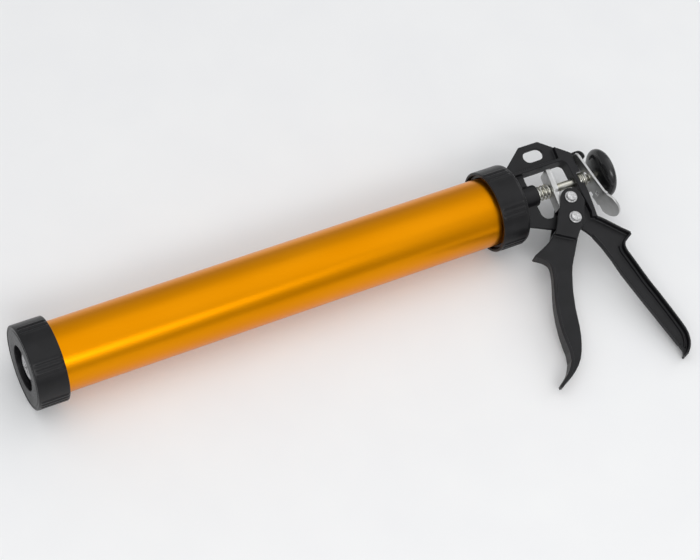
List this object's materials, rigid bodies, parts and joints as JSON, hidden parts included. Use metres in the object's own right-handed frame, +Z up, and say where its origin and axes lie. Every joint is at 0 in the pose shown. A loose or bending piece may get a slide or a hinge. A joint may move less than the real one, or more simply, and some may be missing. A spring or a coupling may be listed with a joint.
{
  "type": "caulking gun",
  "caption": "Caulking gun with a closed aluminium barrel for foil packs, black screw caps, a die-cast handle and trigger, and a thrust rod with a knob",
  "frame": {"origin": "on the surface the gun lies on, under the middle of its overall box", "axes": "+X runs along the barrel from the nozzle to the knob, +Y points away from the handle, and +Z is up with the gun lying on its side"},
  "size_m": [0.456, 0.1892, 0.0598],
  "materials": {
    "black_nylon": "black moulded nylon with a fine satin texture",
    "orange_aluminium": "orange anodised aluminium tube, satin",
    "black_paint": "black powder coat on die-cast alloy",
    "zinc_plate": "bright zinc plated steel",
    "bright_steel": "bright plated steel",
    "gloss_black": "glossy black plastic",
    "grey_nylon": "dark grey nylon",
    "brass": "turned brass"
  },
  "bodies": {
    "frame_body": {"frame": "black_paint", "end_plate": "zinc_plate", "end_plate_nut": "zinc_plate", "return_spring": "zinc_plate", "release_spring": "zinc_plate"},
    "barrel_body": {"barrel": "orange_aluminium", "rear_cap": "black_nylon"},
    "front_cap_body": {"front_cap": "black_nylon"},
    "rod_body": {"thrust_rod": "zinc_plate", "knob": "gloss_black", "knob_insert": "brass", "piston_disc": "grey_nylon", "piston_plate": "zinc_plate", "piston_nut": "zinc_plate", "piston_screw": "bright_steel"},
    "trigger_body": {"trigger": "black_paint", "pivot_rivet": "bright_steel", "pusher_rivet": "bright_steel", "pusher_roller": "bright_steel"},
    "drive_plate_body": {"drive_plate": "zinc_plate"},
    "release_body": {"release_lever": "zinc_plate"}
  },
  "joints": [
    {"name": "barrel_turn", "type": "hinge", "parent": "frame_body", "child": "barrel_body", "pos_m": [0.142, 0.05628, 0.0299], "axis": [1, 0, 0], "range_deg": [-180, 180]},
    {"name": "front_cap_off", "type": "slide", "parent": "barrel_body", "child": "front_cap_body", "axis": [-1, 0, 0], "range_m": [0, 0.03]},
    {"name": "rod_slide", "type": "slide", "parent": "frame_body", "child": "rod_body", "axis": [1, 0, 0], "range_m": [0, 0.34]},
    {"name": "trigger_pull", "type": "hinge", "parent": "frame_body", "child": "trigger_body", "pos_m": [0.1847, 0.02815, 0.02531], "axis": [0, -0.161, 0.987], "range_deg": [0, 20], "stiffness_Nm_per_rad": 0.8, "springref_deg": -17.19},
    {"name": "drive_plate_feed", "type": "slide", "parent": "frame_body", "child": "drive_plate_body", "axis": [-1, 0, 0], "range_m": [0, 0.0056], "deforming": ["return_spring"]},
    {"name": "release_press", "type": "hinge", "parent": "frame_body", "child": "release_body", "pos_m": [0.2094, 0.07503, 0.03296], "axis": [0, 0.161, -0.987], "range_deg": [0, 6], "stiffness_Nm_per_rad": 0.5, "springref_deg": -17.19, "deforming": ["release_spring"]}
  ],
  "couplings": [
    {"joint": "drive_plate_feed", "follows": "trigger_pull", "m_per_rad": 0.0156}
  ]
}
